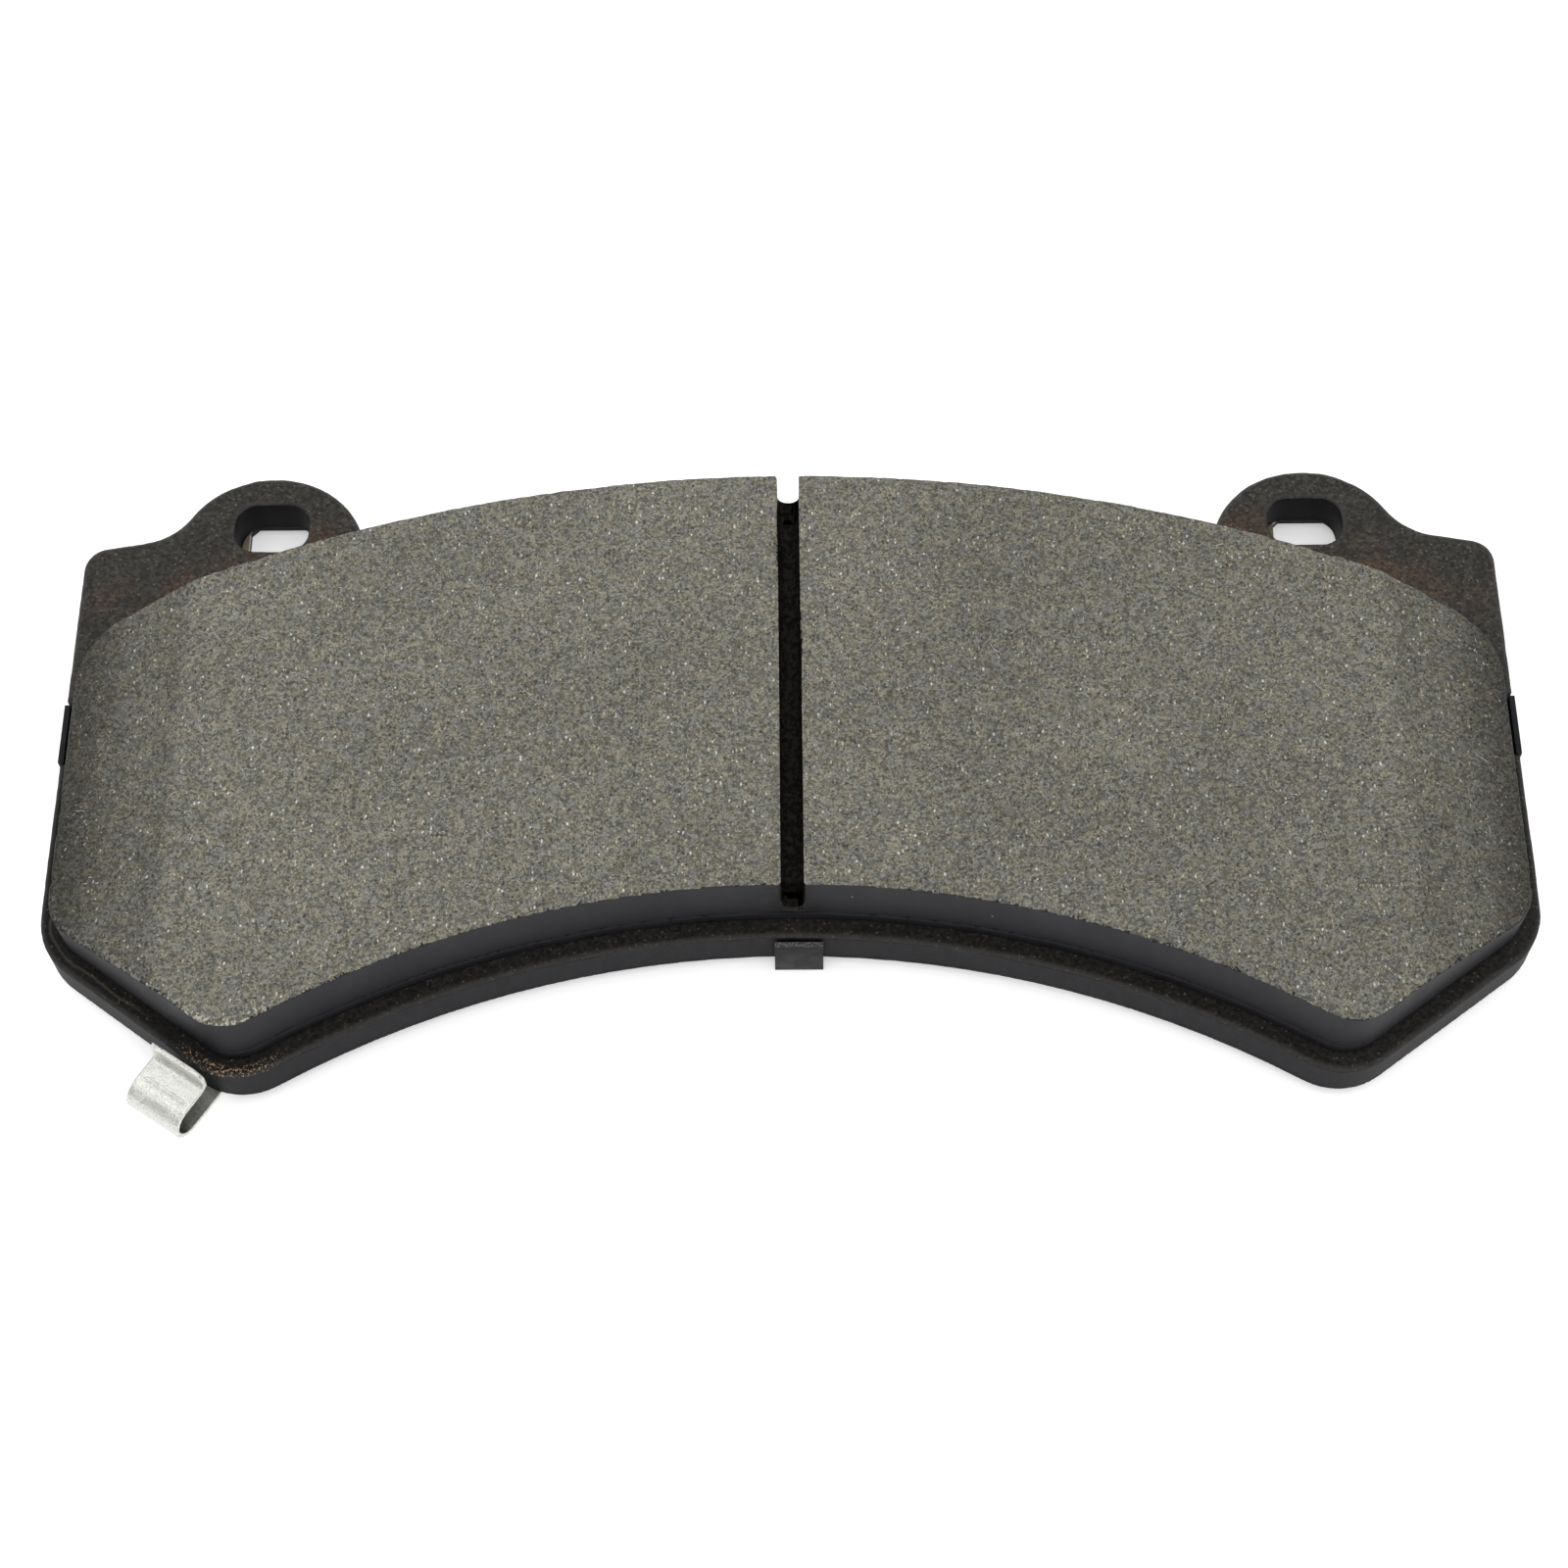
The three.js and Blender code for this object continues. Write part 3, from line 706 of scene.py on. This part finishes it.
def moulded_wall(look):
    """Colour and roughness of the pressed side wall: smooth dark skin with a few pale specks."""
    cloud = look.noise(5, 3, stretch=(1, 1, 0.4))
    streak = look.noise(0.8, 8, stretch=(1, 1, 0.12))
    tone = look.math("ADD", look.step(cloud, 0.3, 0.7, 0.9, 1.1), look.step(streak, 0.3, 0.7, -0.05, 0.05))
    # painted shade: the wall is coloured darker towards its foot and lighter towards the face
    painted_foot_shade = look.step(look.z, FOOT_Z, FACE_Z, 0.75, 1.25)
    color = look.shade(WALL_COLOR, look.math("MULTIPLY", tone, painted_foot_shade))
    away, pick = look.cells(1.3, 4)
    speck = look.math("MULTIPLY", look.math("GREATER_THAN", pick, 0.965), look.step(away, 0.12, 0.05))
    return look.mix(speck, color, (0.3, 0.29, 0.26)), look.step(cloud, 0.3, 0.7, 0.5, 0.6)


def friction_material():
    look = Look("friction_mix")
    olive, grey, dark = (0.158, 0.149, 0.117), (0.142, 0.140, 0.124), (0.040, 0.037, 0.032)

    # the ground face: a matrix of resin and dust, set with mineral grains, fibres and flecks of metal
    matrix = look.mix(look.step(look.noise(1.6, 1, 3), 0.4, 0.6), olive, grey)
    away, pick = look.cells(0.3, 2, wobble=0.3)
    tone = look.step(pick, 0, 1, 0.64, 1.42)
    fine = look.step(look.noise(0.2, 5, 2), 0.3, 0.7, 0.68, 1.34)
    ground = look.shade(matrix, look.math("MULTIPLY", tone, fine))
    # painted shade: the small hollows among the grains are sunk in the bump below and also coloured dark
    hollow_away, hollow_pick = look.cells(0.55, 7, wobble=0.5)
    hollow = look.math("MULTIPLY", look.math("LESS_THAN", hollow_pick, 0.27),
                       look.step(hollow_away, 0.42, 0.2))
    ground = look.mix(look.math("MULTIPLY", hollow, 0.68), ground, dark)
    fleck_away, fleck_pick = look.cells(0.5, 9, stretch=(1, 0.6, 1), wobble=0.4)
    fleck = look.math("MULTIPLY", look.math("GREATER_THAN", fleck_pick, 0.84),
                      look.step(fleck_away, 0.3, 0.18))
    fleck_color = look.mix(look.step(fleck_pick, 0.9, 0.95), (0.46, 0.42, 0.30), (0.62, 0.62, 0.58))
    ground = look.mix(look.math("MULTIPLY", fleck, 0.85), ground, fleck_color)
    cloud = look.step(look.noise(22, 6, 2), 0.3, 0.7, 0.94, 1.06)
    clump_and_shade = look.step(look.noise(2.0, 16, 2), 0.3, 0.7, 0.93, 1.07)
    # painted shade: the right half of the face is coloured a little darker, as less light falls there
    painted_shade_right = look.step(look.x, 0, 30, 1.01, 0.925)
    clump_and_shade = look.math("MULTIPLY", clump_and_shade, painted_shade_right)
    tilted = look.math("MULTIPLY", look.math("SUBTRACT", look.y, GROOVE_MIDDLE_Y), math.sin(GROOVE_TURN))
    far = look.math("ABSOLUTE", look.math("ADD", look.math("SUBTRACT", look.x, GROOVE_SHIFT), tilted))
    # painted shade: both chamfers are coloured darker than the flat, and the far ends darker still, as less
    # light falls on their slopes
    left = look.math("MULTIPLY", look.step(look.x, -CHAMFER_X - 1.5, -CHAMFER_X + 0.5, 0.76, 1.0),
                     look.step(look.x, -LINING_HALF, -LINING_HALF + 10, 0.42, 1.0))
    right = look.math("MULTIPLY", look.step(look.x, CHAMFER_X - 0.5, CHAMFER_X + 1.5, 1.0, 0.82),
                      look.step(look.x, LINING_HALF - 9, LINING_HALF, 1.0, 0.45))
    ends = look.math("MULTIPLY", left, right)
    ground = look.shade(ground, look.math("MULTIPLY", look.math("MULTIPLY", cloud, clump_and_shade), ends))

    # bright broken crumbs along the lower edge, most of them on the left lobe
    rim = look.attribute("rim")
    lobe = look.math("MULTIPLY", look.step(look.x, -60, -63), look.step(look.x, -74, -69, 0.15, 1.0))
    lobes = look.math("MULTIPLY", lobe, look.step(look.y, -14, -20))
    crumb = look.math("MULTIPLY", look.math("GREATER_THAN", pick, 0.66), look.step(rim, 1.2, 0.6))
    ground = look.mix(look.math("MULTIPLY", look.math("MULTIPLY", crumb, lobes), 0.6), ground, (0.5, 0.48, 0.42))

    wall, wall_roughness = moulded_wall(look)
    ragged = look.math("ADD", look.up, look.step(look.noise(0.4, 12, 3), 0.3, 0.7, -0.35, 0.35))
    on_top = look.step(ragged, 0.52, 0.62)
    # painted shade: the inside of the groove, from just below the face down, is coloured nearly black for the
    # shade in it, lightened in patches of dust
    in_groove = look.math("MULTIPLY", look.math("LESS_THAN", far, GROOVE_HALF + 0.25),
                          look.step(look.z, FACE_Z - 0.5, FACE_Z - 0.9))
    color = look.mix(on_top, wall, ground)
    groove_dust_and_shade = look.step(look.noise(0.6, 31, 3), 0.42, 0.6, 0.75, 2.6)
    color = look.mix(in_groove, color, look.shade((0.011, 0.0098, 0.0085), groove_dust_and_shade))

    # soot that the grooving cutter left on the wall round both mouths of the groove
    smear = look.math("ADD", far, look.step(look.noise(0.7, 33, 3), 0.3, 0.7, -1.4, 1.4))
    smear = look.math("MULTIPLY", look.step(smear, GROOVE_HALF + 2.2, GROOVE_HALF + 0.2),
                      look.step(look.z, GROOVE_BED_Z - 3.2, GROOVE_BED_Z - 0.5))
    smear = look.math("MULTIPLY", smear, look.step(look.up, 0.4, 0.2, 0, 0.75))
    color = look.mix(smear, color, (0.006, 0.0055, 0.005))

    height = look.math("ADD", look.math("MULTIPLY", pick, 0.5), look.noise(0.3, 15, 3))
    height = look.math("SUBTRACT", height, look.math("MULTIPLY", hollow, 0.9))
    skin = look.noise(0.35, 18, 2)
    bumped = look.bump(look.math("MULTIPLY", height, on_top), 0.08)
    normal = look.bump(skin, 0.006, bumped)
    roughness = look.step(on_top, 0, 1, wall_roughness, 0.85)
    return look.finish(color, roughness, normal, specular=0.15)


def fibre_material():
    """Cut ends of steel and brass fibre."""
    look = Look("metal_fibre")
    steel = look.step(look.noise(2.5, 3, 1), 0.45, 0.55)
    color = look.mix(steel, (0.62, 0.56, 0.40), (0.66, 0.66, 0.63))
    tone = look.step(look.noise(0.6, 5, 2), 0.3, 0.7, 0.5, 0.95)
    return look.finish(look.shade(color, tone), 0.45, look.bump(look.noise(0.15, 8, 2), 0.01), metallic=0.6)


def crumb_material():
    look = Look("broken_mix")
    tone = look.step(look.noise(0.2, 4, 3), 0.3, 0.7, 0.7, 1.25)
    color = look.shade((0.40, 0.38, 0.32), tone)
    return look.finish(color, 0.85, look.bump(look.noise(0.1, 6, 3), 0.04), specular=0.2)


def underlayer_material():
    look = Look("underlayer_mix")
    color, roughness = moulded_wall(look)
    return look.finish(color, roughness, look.bump(look.noise(0.35, 18, 2), 0.006), specular=0.15)


def plate_material():
    look = Look("plate_steel")
    foot, edge = look.attribute("foot"), look.attribute("edge")
    paint, shaded_side_paint, tint = (0.0385, 0.036, 0.032), (0.0056, 0.0056, 0.0066), (0.092, 0.056, 0.036)
    on_top = look.step(look.up, 0.2, 0.55)
    grit_away, grit_pick = look.cells(0.36, 2, wobble=0.3)
    tone = look.math("MULTIPLY", look.step(grit_pick, 0, 1, 0.65, 1.35),
                     look.step(look.noise(0.5, 4, 3), 0.35, 0.65, 0.85, 1.15))
    # painted shade: the paint on top is coloured darker towards the front rim, and darker again at the front of
    # the left end
    shaded_left_front = look.math("MULTIPLY", look.step(look.x, -58, -70), look.step(look.y, 12, 0))
    lower = look.math("MULTIPLY", look.step(look.y, -8, 20, 0.45, 1.0), look.step(shaded_left_front, 0, 1, 1.0, 0.55))
    top = look.shade(paint, look.math("MULTIPLY", tone, lower))

    # heat tint beside the lining, on the ears' side only
    reach = look.math("ADD", foot, look.step(look.noise(5, 6, 2), 0.3, 0.7, -2.5, 2.5))
    ears = look.step(look.y, 22, 30)
    heat = look.math("MULTIPLY", ears, look.step(reach, 1, 11, 1, 0))
    speckled = look.math("MULTIPLY", heat, look.step(look.noise(0.3, 9, 2), 0.4, 0.6, 0.55, 0.85))
    top = look.mix(speckled, top, look.shade(tint, tone))
    # painted glints: scattered bright specks of colour, stronger on the ears, stand in for highlights on the
    # orange peel
    painted_glint = look.math("MULTIPLY", look.math("GREATER_THAN", grit_pick, 0.9),
                      look.step(grit_away, 0.4, 0.2))
    top = look.mix(look.math("MULTIPLY", painted_glint, look.step(ears, 0, 1, 0.45, 0.65)), top, (0.15, 0.137, 0.115))

    # pale moulding flash along the foot of the lining
    ripple = look.step(look.noise(3, 11, 2), 0.3, 0.7, -0.12, 0.12)
    line = look.math("ADD", foot, ripple)
    film = look.math("MULTIPLY", look.step(line, 0.75, 0.95), look.step(line, 1.3, 1.05))
    patchy = look.math("MULTIPLY", look.step(look.noise(9, 13, 1), 0.4, 0.5),
                       look.math("MULTIPLY", look.step(look.x, -66, -72), look.step(look.y, 25, 15)))
    top = look.mix(look.math("MULTIPLY", look.math("MULTIPLY", film, patchy), 0.3), top, (0.12, 0.10, 0.08))

    # painted shade and light: the sheared side is a much darker copy of the paint, coloured lighter on the lower
    # diagonals where more light falls
    painted_diagonal_light = look.step(look.y, -14, -24, 1.0, 1.9)
    side = look.step(look.noise(0.9, 15, 3, stretch=(1, 1, 0.3)), 0.3, 0.7, 0.85, 1.15)
    side = look.shade(shaded_side_paint, look.math("MULTIPLY", side, painted_diagonal_light))
    color = look.mix(on_top, side, top)
    color = look.mix(rust_mask(look), color, look.mix(look.step(look.noise(0.3, 21, 2), 0.4, 0.6),
                                                      (0.10, 0.05, 0.03), (0.42, 0.30, 0.21)))
    height = look.math("ADD", look.noise(0.45, 24, 3), look.math("MULTIPLY", grit_pick, 0.35))
    normal = look.bump(look.math("MULTIPLY", height, look.step(on_top, 0, 1, 0.12, 1.0)), 0.16)
    roughness = look.step(on_top, 0, 1, 0.55, 0.45)
    worn = look.math("MULTIPLY", look.step(edge, 0.8, 0.2), on_top)
    color = look.mix(look.math("MULTIPLY", worn, 0.35), color, (0.07, 0.068, 0.066))
    return look.finish(color, roughness, normal, specular=0.08)


def rust_mask(look):
    """Specks of rust on the plate's rim beside the spring strip."""
    middle, _ = strip_axes()
    spot = look.vector("SUBTRACT", look.place, (middle[0] + 1.7, middle[1] - 4.6, PLATE_TOP))
    length = look.add("ShaderNodeVectorMath", {"operation": "LENGTH"})
    look.feed(length.inputs[0], spot)
    area = look.math("MULTIPLY", look.step(length.outputs["Value"], 7.5, 4),
                     look.step(look.attribute("edge"), 1.7, 1.0))
    specks = look.step(look.noise(0.24, 27, 3), 0.53, 0.59)
    return look.math("MULTIPLY", look.math("MULTIPLY", area, specks), look.step(look.up, 0.1, 0.5))


def rubber_material(name, shift, color):
    """Baked rubber coating: satin black with a fine stipple, and bare steel on the inner tab's cut end."""
    look = Look(name)
    tone = look.step(look.noise(1.2, shift, 4), 0.3, 0.7, 0.8, 1.25)
    scuff = look.step(look.noise(3.5, shift + 3, 5, stretch=(0.3, 1, 1)), 0.6, 0.72, 0, 0.35)
    shown = look.mix(scuff, look.shade(color, tone), tuple(2.2 * c for c in color))
    cut_end = look.math("MULTIPLY", look.step(look.z, TAB_END_Z - 0.12, TAB_END_Z - 0.04),
                        look.step(look.math("ABSOLUTE", look.x), 12, 10))
    bare = look.math("MULTIPLY", look.step(look.noise(0.22, shift + 6, 3), 0.52, 0.62, 0.25, 1.0),
                     look.step(look.up, 0.6, 0.9))
    shown = look.mix(look.math("MULTIPLY", cut_end, bare), shown, (0.17, 0.17, 0.17))
    height = look.math("ADD", look.noise(0.25, shift + 5, 2), look.noise(1.5, shift + 7, 2))
    roughness = look.step(look.noise(2, shift + 9, 3), 0.3, 0.7, 0.45, 0.6)
    return look.finish(shown, roughness, look.bump(height, 0.02), specular=0.14)


def steel_material():
    look = Look("shim_steel")
    grain = look.noise(0.3, 2, 4, stretch=(0.05, 1, 1))
    color = look.mix(grain, (0.28, 0.28, 0.29), (0.42, 0.42, 0.42))
    return look.finish(color, look.step(grain, 0.3, 0.7, 0.3, 0.45), look.bump(grain, 0.01), metallic=1.0)


def adhesive_material():
    look = Look("adhesive_film")
    flow = look.noise(1.4, 2, 4)
    color = look.mix(flow, (0.16, 0.13, 0.08), (0.34, 0.29, 0.18))
    return look.finish(color, look.step(flow, 0.3, 0.7, 0.35, 0.6), look.bump(flow, 0.03))


def zinc_material():
    """Bright zinc plating with a faint spangle, fine drawing lines and small dull spots."""
    look = Look("zinc_plate")
    away, spangle = look.cells(0.9, 3, wobble=0.5)
    lines = look.noise(0.25, 5, 3, stretch=(0.35, 1, 1))
    tone = look.math("MULTIPLY", look.step(spangle, 0, 1, 0.92, 1.04), look.step(lines, 0.3, 0.7, 0.95, 1.03))
    speckle = look.step(look.noise(0.13, 21, 2), 0.3, 0.7, 0.72, 1.16)
    # painted shade: upward faces low inside the loop, under the strip's upper run, are coloured darker
    painted_loop_shade = look.math("MULTIPLY", look.step(look.z, 3.4, 2.6), look.step(look.up, 0.2, 0.7))
    tone = look.math("MULTIPLY", tone, look.step(painted_loop_shade, 0, 1, 1.0, 0.5))
    color = look.shade((0.72, 0.725, 0.68), look.math("MULTIPLY", tone, speckle))
    dull = look.step(look.noise(0.3, 8, 3), 0.6, 0.68, 0, 0.5)
    color = look.mix(dull, color, (0.36, 0.36, 0.34))
    height = look.math("ADD", look.noise(0.3, 11, 3), look.math("MULTIPLY", spangle, 0.4))
    roughness = look.math("ADD", look.step(spangle, 0, 1, 0.44, 0.54), look.math("MULTIPLY", dull, 0.3))
    return look.finish(color, roughness, look.bump(height, 0.04), metallic=1.0)


# ---- room, lights and camera ----------------------------------------------------------------

CAMERA_PLACE = (2.26, -170.11, 335.85)
CAMERA_HEADING = math.radians(0.959)
CAMERA_TILT = math.radians(90 - 62.68)
CAMERA_ROLL = math.radians(-1.221)
SENSOR = 36.0
LENS = 67.47
FLOOR_GAP = 0.05


def make_camera():
    data = bpy.data.cameras.new("camera")
    data.sensor_width = SENSOR
    data.lens = LENS
    data.clip_start, data.clip_end = 0.01, 20
    camera = new_object("camera", data)
    camera.matrix_world = (
        Matrix.Translation(Vector(CAMERA_PLACE) * MM)
        @ Matrix.Rotation(CAMERA_HEADING, 4, "Z")
        @ Matrix.Rotation(CAMERA_TILT, 4, "X")
        @ Matrix.Rotation(CAMERA_ROLL, 4, "Z"))
    bpy.context.scene.camera = camera


def make_light(name, place, size, power):
    """A square soft box that faces the pad."""
    data = bpy.data.lights.new(name, "AREA")
    data.size = size * MM
    data.energy = power
    light = new_object(name, data)
    light.location = Vector(place) * MM
    light.rotation_euler = (-Vector(place)).to_track_quat("-Z", "Y").to_euler()


def make_room():
    bm = bmesh.new()
    bmesh.ops.create_grid(bm, x_segments=24, y_segments=24, size=3.0)
    mesh = bpy.data.meshes.new("floor")
    bm.to_mesh(mesh)
    bm.free()
    floor = new_object("floor", mesh)
    floor.location.z = -FLOOR_GAP * MM
    look = Look("floor")
    color = look.mix(look.noise(60, 1, 2), (0.94, 0.94, 0.94), (0.96, 0.96, 0.96))
    mesh.materials.append(look.finish(color, 0.9, look.bump(look.noise(2, 3, 2), 0.02), specular=0.1, glow=0.36))

    world = bpy.data.worlds.new("world")
    world.use_nodes = True
    sky = world.node_tree.nodes["Background"]
    sky.inputs["Color"].default_value = (1, 1, 1, 1)
    sky.inputs["Strength"].default_value = 0.6
    bpy.context.scene.world = world
    bpy.context.scene.view_settings.view_transform = "Standard"

    make_light("overhead", (-60, 120, 900), 1700, 9.6)
    make_light("front", (100, -900, 600), 600, 1.2)


# ---- assembly -------------------------------------------------------------------------------

def dress(thing, node, material):
    """Puts a new piece in a CAD node's place, with its material, on the pad's one body."""
    thing.data.materials.clear()
    thing.data.materials.append(material)
    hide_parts(node)
    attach(thing, BODY)


def add_trim(thing, material):
    """Small detail that rides with the pad and stands for no CAD node."""
    thing.data.materials.append(material)
    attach(thing, BODY)


def recoat(node, material):
    """Gives a CAD node that stays a better material."""
    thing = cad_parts[node]
    thing.data.materials.clear()
    thing.data.materials.append(material)


make_room()
make_camera()

zinc = zinc_material()
dress(make_plate(), "backing_plate", plate_material())
dress(make_underlayer(), "underlayer", underlayer_material())
dress(make_lining(), "friction_lining", friction_material())
add_trim(make_fibres(), fibre_material())
add_trim(make_crumbs(), crumb_material())
dress(make_shim(), "shim_plate", rubber_material("shim_coating", 2, (0.0095, 0.0095, 0.011)))
dress(make_strip(), "wear_indicator", zinc)
dress(make_rivet(), "wear_indicator_rivet", zinc)
recoat("shim_damping_layer", rubber_material("damping_rubber", 30, (0.012, 0.012, 0.013)))
recoat("shim_inner_plate", steel_material())
recoat("shim_adhesive", adhesive_material())
